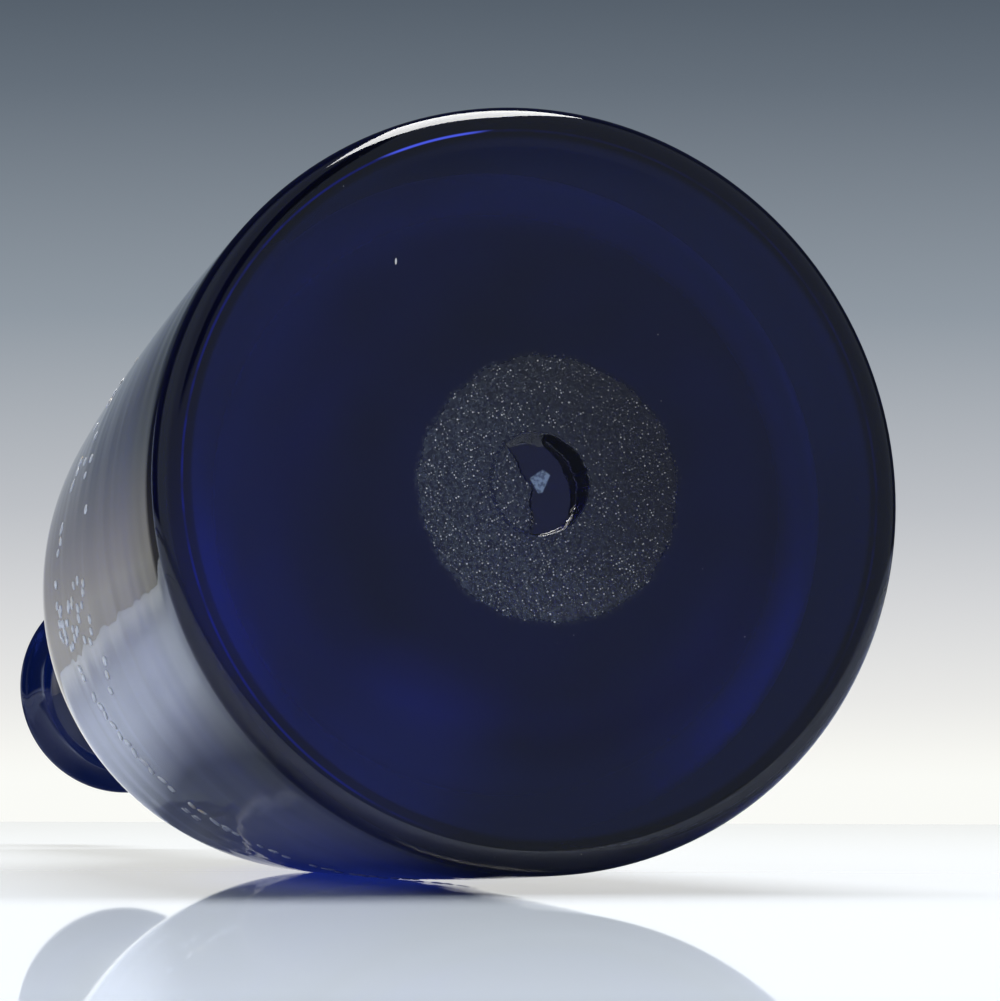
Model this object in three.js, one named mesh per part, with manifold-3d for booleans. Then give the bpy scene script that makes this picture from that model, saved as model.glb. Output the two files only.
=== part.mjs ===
// Taper decanter: one blown glass vessel with its neck and lip, and a ground-in lozenge stopper.
// Millimetres, +Z up. The origin is the centre of the ring that the decanter stands on.
import * as THREE from 'three';
import { mergeVertices } from 'three/addons/utils/BufferGeometryUtils.js';
import Module from 'manifold-3d';

const wasm = await Module();
wasm.setup();

// Body, outside
const BODY_HEIGHT = 216.6;
const BASE_RADIUS = 40;
const HEEL_DEPTH = 2.8; // how far the rounded heel reaches in from the side
const HEEL_HEIGHT = 1.8;
const REST_RING_WIDTH = 1.1;
const KICK_HEIGHT = 2.6; // the base is pushed up a little inside its resting ring
const KICK_CROWN = 21; // radius within which the push-up is nearly flat
const SHOULDER_HEIGHT = 91;
const SHOULDER_RADIUS = 34.5;
const SIDE_LEAN_LOW = 0.034; // millimetres inwards for each millimetre up, above the heel
const SIDE_LEAN_HIGH = 0.088; // and where the shoulder starts
const SHOULDER_FULLNESS = 32;
const NECK_FULLNESS = 38;
const WAIST_HEIGHT = 171;
const WAIST_RADIUS = 12.4;

// Lip
const LIP_RADIUS = 15.7;
const LIP_EDGE = 1.7; // radius of the rounded edge
const LIP_UNDERCUT = 50; // degrees below level at which the edge meets the underside
const LIP_RISE = 3.4; // height of the underside, from the neck to the edge
const NECK_TOP_RADIUS = 13.2;

// Body, inside
const SIDE_WALL = 3.0;
const NECK_WALL = 4.0;
const BASE_GLASS = 6.4; // thickness on the axis
const INNER_CORNER = 13; // reach of the round corner inside the base

// Ground mouth and its stopper
const MOUTH_RADIUS = 8.4;
const MOUTH_ROUND = 2.0;
const GROUND_LENGTH = 27;
const GROUND_TAPER = 0.029; // change of radius for each millimetre of depth
const PEG_CLEARANCE = 0.3;
const PEG_LENGTH = 25; // below the mouth's rounded edge
const PEG_END_ROUND = 1.2;
const PEG_STAND_OUT = 1.6; // ground taper that shows above the lip

// Ground-off pontil mark
const PONTIL_RADIUS = 14.1;
const PONTIL_DISH = 0.9;
const PONTIL_X = -0.9;
const PONTIL_Y = 1.8;
const SCAR_RADIUS = 5.5;
const SCAR_DEPTH = 1.1;
const SCAR_X = 0;
const SCAR_Y = 1.9;

// Stopper, above the peg
const SHANK_RADIUS = 4.3;
const SHANK_HEIGHT = 6.5; // from the peg's top to the shank's narrowest place
const FINIAL_HEIGHT = 34;
const FINIAL_WIDTH = 27;
const FINIAL_THICKNESS = 9;
const FINIAL_EDGE = 1.8; // thickness of the rim
const FINIAL_FACE = 0.56; // size of the flat face, as a share of the outline
const SHANK_DOME = 8; // height over which the shank runs out into the lozenge's two faces
const LOZENGE_POWER = 1.28; // 1 is a sharp rhombus, 2 is an ellipse

// Fineness of the facets
const TURN_STEPS = 54;
const DISH_STEPS = 40;
const DISH_RINGS = 7;
const STOPPER_STEPS = 40;
const OUTLINE_STEPS = 56;

const cobalt = new THREE.MeshStandardMaterial({ color: 0x10185c, roughness: 0.06, metalness: 0 });
const cobaltStopper = new THREE.MeshStandardMaterial({ color: 0x141d66, roughness: 0.08, metalness: 0 });

// Turns an outline of radius and height about the vertical axis
function turned(points, steps) {
  const geometry = new THREE.LatheGeometry(points, steps);
  geometry.rotateX(Math.PI / 2);
  return geometry;
}

function solid(geometry) {
  const bare = geometry.clone();
  bare.deleteAttribute('normal');
  bare.deleteAttribute('uv');
  const merged = mergeVertices(bare, 1e-4);
  return new wasm.Manifold(new wasm.Mesh({
    numProp: 3,
    vertProperties: new Float32Array(merged.attributes.position.array),
    triVerts: new Uint32Array(merged.index.array),
  }));
}

function meshGeometry(manifold) {
  const mesh = manifold.getMesh();
  const geometry = new THREE.BufferGeometry();
  geometry.setAttribute('position', new THREE.BufferAttribute(new Float32Array(mesh.vertProperties), 3));
  geometry.setIndex(new THREE.BufferAttribute(new Uint32Array(mesh.triVerts), 1));
  geometry.computeVertexNormals();
  return geometry;
}

// A curve's points after its first, with the given number of steps
function follow(points, curve, steps) {
  points.push(...curve.getPoints(steps).slice(1));
}

function point(radius, height) {
  return new THREE.Vector2(radius, height);
}

// Where two leaning lines meet: the control point of a side that bows gently between them
function bowControl(low, leanLow, high, leanHigh) {
  const rise = high.y - low.y;
  const climb = (low.x - high.x - leanHigh * rise) / (leanLow - leanHigh);
  return point(low.x - leanLow * climb, low.y + climb);
}

// Outer outline, from the axis under the base to the mouth's rounded edge
function outerOutline() {
  const points = [point(0, KICK_HEIGHT)];
  const ringOuter = BASE_RADIUS - HEEL_DEPTH;
  const ringInner = point(ringOuter - REST_RING_WIDTH, 0);
  follow(points, new THREE.QuadraticBezierCurve(points[0], point(KICK_CROWN, KICK_HEIGHT), ringInner), 8);
  points.push(point(ringOuter, 0));
  const heel = new THREE.EllipseCurve(ringOuter, HEEL_HEIGHT, HEEL_DEPTH, HEEL_HEIGHT, -Math.PI / 2, 0);
  follow(points, heel, 5);
  const heelTop = point(BASE_RADIUS, HEEL_HEIGHT);
  const shoulder = point(SHOULDER_RADIUS, SHOULDER_HEIGHT);
  const bow = bowControl(heelTop, SIDE_LEAN_LOW, shoulder, SIDE_LEAN_HIGH);
  follow(points, new THREE.QuadraticBezierCurve(heelTop, bow, shoulder), 7);
  const waist = point(WAIST_RADIUS, WAIST_HEIGHT);
  follow(points, new THREE.CubicBezierCurve(
    shoulder,
    point(SHOULDER_RADIUS - SIDE_LEAN_HIGH * SHOULDER_FULLNESS, SHOULDER_HEIGHT + SHOULDER_FULLNESS),
    point(WAIST_RADIUS, WAIST_HEIGHT - NECK_FULLNESS),
    waist,
  ), 14);

  const edgeCentre = point(LIP_RADIUS - LIP_EDGE, BODY_HEIGHT - LIP_EDGE);
  const undercut = THREE.MathUtils.degToRad(LIP_UNDERCUT);
  const edgeStart = point(
    edgeCentre.x + LIP_EDGE * Math.cos(undercut),
    edgeCentre.y - LIP_EDGE * Math.sin(undercut),
  );
  const neckTop = point(NECK_TOP_RADIUS, edgeStart.y - LIP_RISE);
  const flareMiddle = point(WAIST_RADIUS, (waist.y + neckTop.y) / 2);
  follow(points, new THREE.QuadraticBezierCurve(waist, flareMiddle, neckTop), 6);
  const reach = (edgeStart.x - neckTop.x) / 2;
  const underside = point(
    edgeStart.x - reach * Math.sin(undercut) / Math.cos(undercut),
    edgeStart.y - reach,
  );
  follow(points, new THREE.QuadraticBezierCurve(neckTop, underside, edgeStart), 4);
  follow(points, new THREE.EllipseCurve(
    edgeCentre.x, edgeCentre.y, LIP_EDGE, LIP_EDGE, -undercut, Math.PI / 2,
  ), 6);
  const mouthEdge = point(MOUTH_RADIUS + MOUTH_ROUND, BODY_HEIGHT);
  points.push(mouthEdge);
  follow(points, new THREE.EllipseCurve(
    mouthEdge.x, BODY_HEIGHT - MOUTH_ROUND, MOUTH_ROUND, MOUTH_ROUND, Math.PI / 2, Math.PI,
  ), 4);
  return points;
}

const MOUTH_BASE = BODY_HEIGHT - MOUTH_ROUND; // where the ground taper starts

function groundRadius(height) {
  return MOUTH_RADIUS - GROUND_TAPER * (MOUTH_BASE - height);
}

// Inner outline, from the ground mouth down to the axis inside the base
function innerOutline() {
  const groundEnd = MOUTH_BASE - GROUND_LENGTH;
  const points = [point(groundRadius(groundEnd), groundEnd)];
  const waist = point(WAIST_RADIUS - NECK_WALL, WAIST_HEIGHT);
  const relief = point(waist.x, (groundEnd + waist.y) / 2);
  follow(points, new THREE.QuadraticBezierCurve(points[0], relief, waist), 3);
  const shoulder = point(SHOULDER_RADIUS - SIDE_WALL, SHOULDER_HEIGHT);
  follow(points, new THREE.CubicBezierCurve(
    waist,
    point(waist.x, WAIST_HEIGHT - NECK_FULLNESS),
    point(shoulder.x - SIDE_LEAN_HIGH * SHOULDER_FULLNESS, SHOULDER_HEIGHT + SHOULDER_FULLNESS),
    shoulder,
  ), 12);
  const floorHeight = KICK_HEIGHT + BASE_GLASS;
  const cornerTop = point(BASE_RADIUS - SIDE_WALL - SIDE_LEAN_LOW * INNER_CORNER, floorHeight + INNER_CORNER);
  const bow = bowControl(cornerTop, SIDE_LEAN_LOW, shoulder, SIDE_LEAN_HIGH);
  follow(points, new THREE.QuadraticBezierCurve(shoulder, bow, cornerTop), 6);
  const flat = cornerTop.x - INNER_CORNER;
  follow(points, new THREE.EllipseCurve(
    flat, cornerTop.y, INNER_CORNER, INNER_CORNER, 0, -Math.PI / 2, true,
  ), 6);
  points.push(point(0, floorHeight));
  return points;
}

// A round lens that grinds a shallow dish upwards into the base
function dishCutter(radius, rimHeight, depth, x, y) {
  const below = -HEEL_HEIGHT; // the lens starts under the resting plane
  const points = [point(0, below), point(radius, below), point(radius, rimHeight)];
  for (let i = 1; i <= DISH_RINGS; i += 1) {
    const r = radius * (1 - i / DISH_RINGS);
    points.push(point(r, rimHeight + depth * (1 - (r / radius) ** 2)));
  }
  const geometry = turned(points, DISH_STEPS);
  geometry.translate(x, y, 0);
  return solid(geometry);
}

// Height of the pushed-up base at a radius, from the curve that the outline follows
function kickHeight(radius) {
  const end = BASE_RADIUS - HEEL_DEPTH - REST_RING_WIDTH;
  const bend = end - 2 * KICK_CROWN;
  const along = (-KICK_CROWN + Math.sqrt(KICK_CROWN ** 2 + bend * radius)) / bend;
  return KICK_HEIGHT * (1 - along ** 2);
}

function decanterBody() {
  const blown = solid(turned([...outerOutline(), ...innerOutline()], TURN_STEPS));
  const pontilRim = kickHeight(PONTIL_RADIUS + Math.hypot(PONTIL_X, PONTIL_Y));
  const pontil = dishCutter(
    PONTIL_RADIUS, pontilRim, PONTIL_DISH + KICK_HEIGHT - pontilRim, PONTIL_X, PONTIL_Y,
  );
  const scar = dishCutter(SCAR_RADIUS, KICK_HEIGHT + PONTIL_DISH / 2, SCAR_DEPTH + PONTIL_DISH / 2, SCAR_X, SCAR_Y);
  const body = new THREE.Mesh(meshGeometry(blown.subtract(pontil).subtract(scar)), cobalt);
  body.name = 'decanter_body';
  return body;
}

// The lozenge: a rim all round, and on each side a bevel up to a smaller flat face
function lozengeGeometry() {
  const layers = [
    { depth: -FINIAL_THICKNESS / 2, share: FINIAL_FACE },
    { depth: -FINIAL_EDGE / 2, share: 1 },
    { depth: FINIAL_EDGE / 2, share: 1 },
    { depth: FINIAL_THICKNESS / 2, share: FINIAL_FACE },
  ];
  const positions = [];
  for (const { depth, share } of layers) {
    for (let i = 0; i < OUTLINE_STEPS; i += 1) {
      const angle = (2 * Math.PI * i) / OUTLINE_STEPS;
      const c = Math.cos(angle);
      const s = Math.sin(angle);
      const x = Math.sign(c) * Math.abs(c) ** (2 / LOZENGE_POWER) * (FINIAL_WIDTH / 2) * share;
      const z = Math.sign(s) * Math.abs(s) ** (2 / LOZENGE_POWER) * (FINIAL_HEIGHT / 2) * share;
      positions.push(x, depth, z);
    }
  }
  const back = layers.length * OUTLINE_STEPS;
  positions.push(0, -FINIAL_THICKNESS / 2, 0, 0, FINIAL_THICKNESS / 2, 0);
  const index = [];
  for (let i = 0; i < OUTLINE_STEPS; i += 1) {
    const next = (i + 1) % OUTLINE_STEPS;
    index.push(back, i, next);
    for (let layer = 0; layer < layers.length - 1; layer += 1) {
      const low = layer * OUTLINE_STEPS;
      const high = low + OUTLINE_STEPS;
      index.push(low + i, high + i, low + next, low + next, high + i, high + next);
    }
    const top = (layers.length - 1) * OUTLINE_STEPS;
    index.push(back + 1, top + next, top + i);
  }
  const geometry = new THREE.BufferGeometry();
  geometry.setAttribute('position', new THREE.Float32BufferAttribute(positions, 3));
  geometry.setIndex(index);
  return geometry;
}

function stopper() {
  const pegFoot = MOUTH_BASE - PEG_LENGTH;
  const pegTop = BODY_HEIGHT + PEG_STAND_OUT;
  const footRadius = groundRadius(pegFoot) - PEG_CLEARANCE;
  const topRadius = groundRadius(pegTop) - PEG_CLEARANCE;
  const points = [point(0, pegFoot), point(footRadius - PEG_END_ROUND, pegFoot)];
  follow(points, new THREE.EllipseCurve(
    footRadius - PEG_END_ROUND, pegFoot + PEG_END_ROUND, PEG_END_ROUND, PEG_END_ROUND, -Math.PI / 2, 0,
  ), 3);
  points.push(point(topRadius, pegTop));
  const narrow = point(SHANK_RADIUS, pegTop + SHANK_HEIGHT);
  follow(points, new THREE.CubicBezierCurve(
    point(topRadius, pegTop),
    point(topRadius, pegTop + SHANK_HEIGHT / 2),
    point(SHANK_RADIUS, pegTop + SHANK_HEIGHT / 2),
    narrow,
  ), 6);
  follow(points, new THREE.EllipseCurve(0, narrow.y, SHANK_RADIUS, SHANK_DOME, 0, Math.PI / 2), 6);
  const peg = solid(turned(points, STOPPER_STEPS));
  const lozenge = lozengeGeometry();
  lozenge.translate(0, 0, narrow.y + FINIAL_HEIGHT / 2);
  const mesh = new THREE.Mesh(meshGeometry(peg.add(solid(lozenge))), cobaltStopper);
  mesh.name = 'stopper';
  return mesh;
}

const decanter = new THREE.Group();
decanter.name = 'taper_decanter';
decanter.add(decanterBody(), stopper());

export default decanter;
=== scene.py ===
"""Cobalt glass taper decanter with a ground-in lozenge stopper and a painted festoon of enamel beads.

Sizes are in millimetres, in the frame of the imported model: the origin is the centre of the resting ring and
+Z runs up the decanter's axis. The decanter lies on its side on a pale glossy table, so the camera, table,
backdrop and lamps lean round it. Meshes are made in metres.
"""
import math
import random

import bmesh
import bpy
import numpy as np
from mathutils import Matrix, Vector


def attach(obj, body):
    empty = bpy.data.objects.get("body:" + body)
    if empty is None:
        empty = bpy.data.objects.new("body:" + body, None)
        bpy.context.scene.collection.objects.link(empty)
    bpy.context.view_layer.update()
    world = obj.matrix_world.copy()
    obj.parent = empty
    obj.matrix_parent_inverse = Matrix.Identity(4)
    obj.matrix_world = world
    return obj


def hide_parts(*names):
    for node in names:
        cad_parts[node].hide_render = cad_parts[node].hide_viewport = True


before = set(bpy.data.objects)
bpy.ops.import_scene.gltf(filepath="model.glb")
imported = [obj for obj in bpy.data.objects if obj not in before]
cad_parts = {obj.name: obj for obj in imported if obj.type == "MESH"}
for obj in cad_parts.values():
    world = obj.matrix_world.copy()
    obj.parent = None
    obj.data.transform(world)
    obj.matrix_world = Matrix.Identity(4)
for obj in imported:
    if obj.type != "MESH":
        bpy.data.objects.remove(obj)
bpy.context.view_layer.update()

MM = 0.001

# Body, outside
BODY_HEIGHT = 216.6
BASE_RADIUS = 40.0
HEEL_DEPTH = 2.8
HEEL_HEIGHT = 1.8
REST_RING_WIDTH = 1.1
KICK_HEIGHT = 2.6
KICK_CROWN = 21.0
SHOULDER_HEIGHT = 91.0
SHOULDER_RADIUS = 34.5
SIDE_LEAN_LOW = 0.034
SIDE_LEAN_HIGH = 0.088
SHOULDER_FULLNESS = 32.0
NECK_FULLNESS = 38.0
WAIST_HEIGHT = 171.0
WAIST_RADIUS = 12.4

# Lip
LIP_RADIUS = 15.7
LIP_EDGE = 1.7
LIP_UNDERCUT = math.radians(50)
LIP_RISE = 3.4
NECK_TOP_RADIUS = 13.2

# Body, inside
SIDE_WALL = 3.0
NECK_WALL = 4.0
BASE_GLASS = 6.4
INNER_CORNER = 13.0

# Ground mouth and its stopper
MOUTH_RADIUS = 8.4
MOUTH_ROUND = 2.0
GROUND_LENGTH = 27.0
GROUND_TAPER = 0.029
PEG_CLEARANCE = 0.3
PEG_LENGTH = 25.0
PEG_END_ROUND = 1.2
PEG_STAND_OUT = 1.6
MOUTH_BASE = BODY_HEIGHT - MOUTH_ROUND

# Ground-off pontil mark
PONTIL_RADIUS = 14.1
PONTIL_DISH = 0.9
PONTIL_CENTRE = (-0.9, 1.8)
SCAR_RADIUS = 5.5
SCAR_CENTRE = (0.0, 1.9)
# Where one bright fleck on the base gets a painted glint
FLECK_GLINT_PLACE = (27.05, -2.62)

# The scar's hollow, laid out across and up the base from the scar's centre
MARK_RIGHT = Vector((-0.4586, 0.8886, 0))
MARK_UP = Vector((0.8886, 0.4586, 0))
HOLLOW_CENTRE = (-0.4, -0.2)
HOLLOW_RADIUS = 5.35
HOLLOW_TILT = 0.14
HOLLOW_STEP = 0.3
HOLLOW_TRENCH = 1.7
CHIP = [(-1.3, 0.4), (0.15, 1.4), (1.0, 0.9), (0.1, -1.0), (-0.4, -1.1)]
HOLLOW_BREAK = -1.4

# Stopper, above the peg
SHANK_RADIUS = 4.3
SHANK_HEIGHT = 6.5
FINIAL_HEIGHT = 34.0
FINIAL_WIDTH = 27.0
FINIAL_THICKNESS = 9.0
FINIAL_EDGE = 1.8
FINIAL_FACE = 0.56
SHANK_DOME = 8.0
LOZENGE_POWER = 1.28

# Camera and stage: the camera looks up the axis from below the base
CAMERA_PLACE = Vector((0.0, -144.06, -428.38))
CAMERA_AHEAD = Vector((0.000569, 0.310122, 0.950697))
CAMERA_RIGHT = Vector((-0.440502, 0.853567, -0.278174))
CAMERA_LENS = 158.24
TABLE_UP = Vector((0.895034, 0.438342, -0.08229)).normalized()
TABLE_LEVEL = -41.9
TOUCH_PLACE = Vector((-31.7, -15.5, 81.1))


# Outlines

HEEL_STEPS = 14
SIDE_STEPS = 30
SHOULDER_STEPS = 40


def curve(points, steps):
    """Points along a Bezier curve of any order, without its first."""
    points = [np.array(p, float) for p in points]
    order = len(points) - 1
    t = np.linspace(0, 1, steps + 1)[1:, None]
    return sum(math.comb(order, i) * t**i * (1 - t)**(order - i) * p for i, p in enumerate(points))


def arc(centre, reach, start, end, steps):
    """Points along an ellipse's arc, without its first. Angles in degrees."""
    a = np.radians(np.linspace(start, end, steps + 1)[1:])
    return np.column_stack((centre[0] + reach[0] * np.cos(a), centre[1] + reach[1] * np.sin(a)))


def bow_control(low, lean_low, high, lean_high):
    """Where two leaning lines meet: the control point of a side that bows gently between them."""
    rise = high[1] - low[1]
    climb = (low[0] - high[0] - lean_high * rise) / (lean_low - lean_high)
    return (low[0] - lean_low * climb, low[1] + climb)


def ground_radius(height):
    return MOUTH_RADIUS - GROUND_TAPER * (MOUTH_BASE - height)


def kick_height(radius):
    """Height of the pushed-up base at a radius from the axis, out to the resting ring."""
    end = BASE_RADIUS - HEEL_DEPTH - REST_RING_WIDTH
    bend = end - 2 * KICK_CROWN
    along = (-KICK_CROWN + np.sqrt(KICK_CROWN**2 + bend * np.minimum(radius, end))) / bend
    return KICK_HEIGHT * (1 - along**2)


def outer_outline():
    """Radius and height, from the resting ring up the outside to the mouth's ground taper."""
    ring_outer = BASE_RADIUS - HEEL_DEPTH
    heel_top = (BASE_RADIUS, HEEL_HEIGHT)
    shoulder = (SHOULDER_RADIUS, SHOULDER_HEIGHT)
    waist = (WAIST_RADIUS, WAIST_HEIGHT)
    edge = (LIP_RADIUS - LIP_EDGE, BODY_HEIGHT - LIP_EDGE)
    edge_start = (edge[0] + LIP_EDGE * math.cos(LIP_UNDERCUT), edge[1] - LIP_EDGE * math.sin(LIP_UNDERCUT))
    neck_top = (NECK_TOP_RADIUS, edge_start[1] - LIP_RISE)
    flare = (WAIST_RADIUS, (waist[1] + neck_top[1]) / 2)
    reach = (edge_start[0] - neck_top[0]) / 2
    underside = (edge_start[0] - reach * math.tan(LIP_UNDERCUT), edge_start[1] - reach)
    mouth_edge = (MOUTH_RADIUS + MOUTH_ROUND, BODY_HEIGHT)
    return np.vstack((
        [(ring_outer, 0)],
        arc((ring_outer, HEEL_HEIGHT), (HEEL_DEPTH, HEEL_HEIGHT), -90, 0, HEEL_STEPS),
        curve((heel_top, bow_control(heel_top, SIDE_LEAN_LOW, shoulder, SIDE_LEAN_HIGH), shoulder),
              SIDE_STEPS),
        curve((shoulder,
               (SHOULDER_RADIUS - SIDE_LEAN_HIGH * SHOULDER_FULLNESS, SHOULDER_HEIGHT + SHOULDER_FULLNESS),
               (WAIST_RADIUS, WAIST_HEIGHT - NECK_FULLNESS), waist), SHOULDER_STEPS),
        curve((waist, flare, neck_top), 16),
        curve((neck_top, underside, edge_start), 12),
        arc(edge, (LIP_EDGE, LIP_EDGE), -math.degrees(LIP_UNDERCUT), 90, 16),
        [mouth_edge],
        arc((mouth_edge[0], MOUTH_BASE), (MOUTH_ROUND, MOUTH_ROUND), 90, 180, 10),
    ))


def inner_outline():
    """Radius and height, from the foot of the ground mouth down to the axis inside the base."""
    ground_end = MOUTH_BASE - GROUND_LENGTH
    waist = (WAIST_RADIUS - NECK_WALL, WAIST_HEIGHT)
    shoulder = (SHOULDER_RADIUS - SIDE_WALL, SHOULDER_HEIGHT)
    floor = KICK_HEIGHT + BASE_GLASS
    corner = (BASE_RADIUS - SIDE_WALL - SIDE_LEAN_LOW * INNER_CORNER, floor + INNER_CORNER)
    start = (ground_radius(ground_end), ground_end)
    return np.vstack((
        [start],
        curve((start, (waist[0], (ground_end + waist[1]) / 2), waist), 8),
        curve((waist, (waist[0], WAIST_HEIGHT - NECK_FULLNESS),
               (shoulder[0] - SIDE_LEAN_HIGH * SHOULDER_FULLNESS, SHOULDER_HEIGHT + SHOULDER_FULLNESS),
               shoulder), 36),
        curve((shoulder, bow_control(corner, SIDE_LEAN_LOW, shoulder, SIDE_LEAN_HIGH), corner), 24),
        arc((corner[0] - INNER_CORNER, corner[1]), (INNER_CORNER, INNER_CORNER), 0, -90, 16),
        np.column_stack((np.linspace(corner[0] - INNER_CORNER, 0, 9)[1:], np.full(8, floor))),
    ))


# Meshes

def linked(name, mesh):
    obj = bpy.data.objects.new(name, mesh)
    bpy.context.scene.collection.objects.link(obj)
    return obj


def cleaned(mesh):
    """Joined at its seams, with its faces pointing out and smooth shading."""
    bm = bmesh.new()
    bm.from_mesh(mesh)
    bmesh.ops.remove_doubles(bm, verts=bm.verts, dist=1e-7)
    bmesh.ops.recalc_face_normals(bm, faces=bm.faces)
    bm.to_mesh(mesh)
    bm.free()
    mesh.shade_smooth()


def finished(name, verts, faces, material):
    """A plain mesh object at the origin from points in millimetres."""
    mesh = bpy.data.meshes.new(name)
    mesh.from_pydata([tuple(v) for v in np.asarray(verts, float) * MM], [], faces)
    cleaned(mesh)
    mesh.materials.append(material)
    return linked(name, mesh)


def ring_faces(rings, steps):
    """Four-sided faces between each ring of points and the next."""
    faces = []
    for low in range(0, (rings - 1) * steps, steps):
        for step in range(steps):
            after = (step + 1) % steps
            faces.append((low + step, low + after, low + steps + after, low + steps + step))
    return faces


def turned(name, outline, steps, material):
    """A closed solid turned from an outline whose ends lie on the axis."""
    turn = np.linspace(0, 2 * math.pi, steps, endpoint=False)
    verts = [(r * math.cos(a), r * math.sin(a), z) for r, z in outline for a in turn]
    return finished(name, verts, ring_faces(len(outline), steps), material)


def evaluated(obj):
    """The object with its modifiers' result as its own plain mesh, and without them."""
    graph = bpy.context.evaluated_depsgraph_get()
    mesh = bpy.data.meshes.new_from_object(obj.evaluated_get(graph), depsgraph=graph)
    mesh.name = obj.name
    obj.modifiers.clear()
    obj.data = mesh
    return obj


class Nodes:
    """Short calls for building a node tree."""

    def __init__(self, tree):
        self.tree = tree
        tree.nodes.clear()

    def add(self, kind, **settings):
        node = self.tree.nodes.new(kind)
        inputs = settings.pop("inputs", {})
        for name, value in settings.items():
            setattr(node, name, value)
        for name, value in inputs.items():
            self.feed(node.inputs[name], value)
        return node

    def feed(self, socket, value):
        if isinstance(value, bpy.types.NodeSocket):
            self.tree.links.new(value, socket)
        else:
            socket.default_value = value

    def maths(self, operation, a, b=0.0, c=0.0, clamp=False):
        node = self.add("ShaderNodeMath", operation=operation, use_clamp=clamp)
        for socket, value in zip(node.inputs, (a, b, c)):
            self.feed(socket, value)
        return node.outputs[0]

    def times(self, a, b):
        return self.maths("MULTIPLY", a, b)

    def dot(self, vector, axis):
        return self.vector("DOT_PRODUCT", vector, tuple(axis))

    def vector(self, operation, a, b=(0, 0, 0)):
        node = self.add("ShaderNodeVectorMath", operation=operation)
        self.feed(node.inputs[0], a)
        self.feed(node.inputs[1], b)
        single = operation in ("DOT_PRODUCT", "LENGTH", "DISTANCE")
        return node.outputs["Value" if single else "Vector"]

    def scaled(self, vector, share):
        node = self.add("ShaderNodeVectorMath", operation="SCALE")
        self.feed(node.inputs[0], vector)
        self.feed(node.inputs["Scale"], share)
        return node.outputs["Vector"]

    def ramp(self, value, low, high, out_low=0.0, out_high=1.0, smooth=True):
        node = self.add("ShaderNodeMapRange", interpolation_type="SMOOTHSTEP" if smooth else "LINEAR")
        names = ("Value", "From Min", "From Max", "To Min", "To Max")
        for name, v in zip(names, (value, low, high, out_low, out_high)):
            self.feed(node.inputs[name], v)
        return node.outputs["Result"]

    def blend(self, share, a, b):
        node = self.add("ShaderNodeMix", data_type="RGBA")
        self.feed(node.inputs[0], share)
        self.feed(node.inputs[6], a)
        self.feed(node.inputs[7], b)
        return node.outputs[2]

    def colours(self, value, stops):
        node = self.add("ShaderNodeValToRGB")
        ramp = node.color_ramp
        while len(ramp.elements) < len(stops):
            ramp.elements.new(0.5)
        for element, (place, colour) in zip(ramp.elements, stops):
            element.position = place
            element.color = (*colour, 1)
        self.feed(node.inputs[0], value)
        return node.outputs[0]

    def mix_shader(self, share, a, b):
        node = self.add("ShaderNodeMixShader")
        for socket, value in zip(node.inputs, (share, a, b)):
            self.feed(socket, value)
        return node.outputs[0]


def geometry_tree(name, sockets):
    """An empty geometry tree with named inputs. Returns its nodes and the input node's sockets."""
    tree = bpy.data.node_groups.new(name, "GeometryNodeTree")
    tree.interface.new_socket("Geometry", in_out="INPUT", socket_type="NodeSocketGeometry")
    for label, kind in sockets.items():
        tree.interface.new_socket(label, in_out="INPUT", socket_type="NodeSocket" + kind)
    tree.interface.new_socket("Geometry", in_out="OUTPUT", socket_type="NodeSocketGeometry")
    n = Nodes(tree)
    return n, n.add("NodeGroupInput").outputs


def tree_end(n, geometry, material):
    real = n.add("GeometryNodeRealizeInstances", inputs={"Geometry": geometry}).outputs[0]
    dressed = n.add("GeometryNodeSetMaterial", inputs={"Geometry": real, "Material": material}).outputs[0]
    n.add("NodeGroupOutput", inputs={"Geometry": dressed})


def grown(obj, tree, values):
    """Run a geometry tree on an object and keep the result as a plain mesh."""
    modifier = obj.modifiers.new(tree.name, "NODES")
    modifier.node_group = tree
    for item in tree.interface.items_tree:
        if item.item_type == "SOCKET" and item.in_out == "INPUT" and item.name in values:
            modifier[item.identifier] = values[item.name]
    evaluated(obj)
    obj.data.materials.clear()
    obj.data.materials.append(values["Material"])
    obj.data.polygons.foreach_set("material_index", [0] * len(obj.data.polygons))
    return obj


def point_cloud(name, points, attributes):
    """Loose points in millimetres, with vectors or numbers on each, for a geometry tree to read."""
    mesh = bpy.data.meshes.new(name)
    mesh.from_pydata([tuple(p) for p in np.asarray(points, float) * MM], [], [])
    for label, values in attributes.items():
        values = np.asarray(values, float)
        kind = "FLOAT_VECTOR" if values.ndim == 2 else "FLOAT"
        field = "vector" if values.ndim == 2 else "value"
        mesh.attributes.new(label, kind, "POINT").data.foreach_set(field, values.ravel())
    return linked(name, mesh)


# Stage

def new_material(name):
    material = bpy.data.materials.new(name)
    material.use_nodes = True
    return material, Nodes(material.node_tree)


def clear_where(n, share, surface):
    """End a stage material, clear where the share is 1 so that light passes."""
    clear = n.add("ShaderNodeBsdfTransparent")
    out = n.add("ShaderNodeOutputMaterial")
    n.feed(out.inputs["Surface"], n.mix_shader(share, surface, clear.outputs[0]))


def photo_camera():
    data = bpy.data.cameras.new("camera")
    data.lens = CAMERA_LENS
    data.sensor_width = 36
    data.clip_start = 0.01
    data.clip_end = 20
    camera = bpy.data.objects.new("camera", data)
    ahead = CAMERA_AHEAD.normalized()
    right = CAMERA_RIGHT.normalized()
    up = right.cross(ahead)
    turn = Matrix((right, up, -ahead)).transposed()
    camera.matrix_world = Matrix.Translation(CAMERA_PLACE * MM) @ turn.to_4x4()
    bpy.context.scene.collection.objects.link(camera)
    bpy.context.scene.camera = camera
    return camera


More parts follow.
